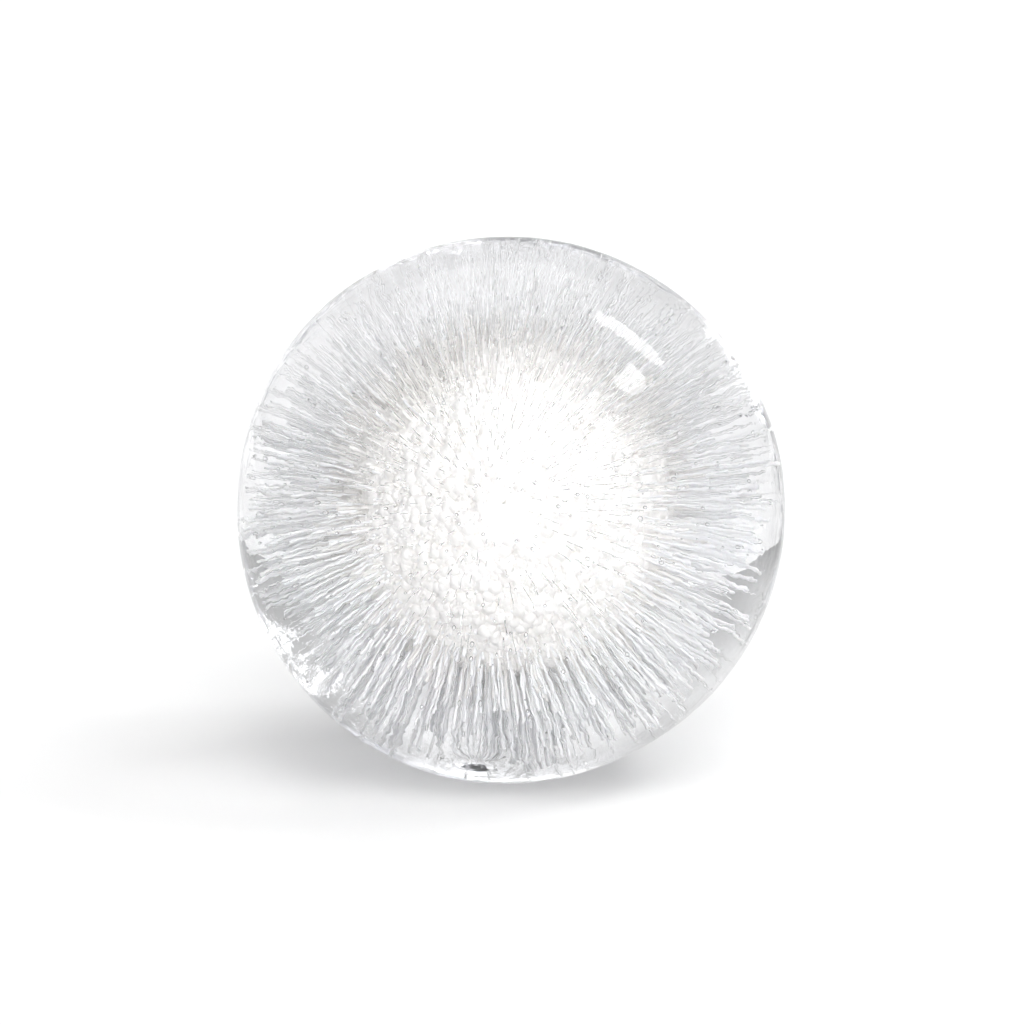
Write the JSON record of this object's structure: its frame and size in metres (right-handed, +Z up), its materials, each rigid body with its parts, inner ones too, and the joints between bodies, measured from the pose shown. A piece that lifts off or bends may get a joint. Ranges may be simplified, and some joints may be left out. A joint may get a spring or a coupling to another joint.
{
  "type": "ice sphere",
  "caption": "Clear ball of moulded ice with radial needle bubbles inside, slightly out of round, standing on a small flat melted foot.",
  "frame": {"origin": "middle of the flat foot, where the ball touches the surface it stands on", "axes": "+Z up through the ball's centre; -Y towards the viewer; +X to the viewer's right"},
  "size_m": [0.0601, 0.0601, 0.0595],
  "materials": {
    "clear_ice": "wet, glossy, see-through"
  },
  "bodies": {
    "root": {"ice_sphere": "clear_ice"}
  },
  "joints": []
}
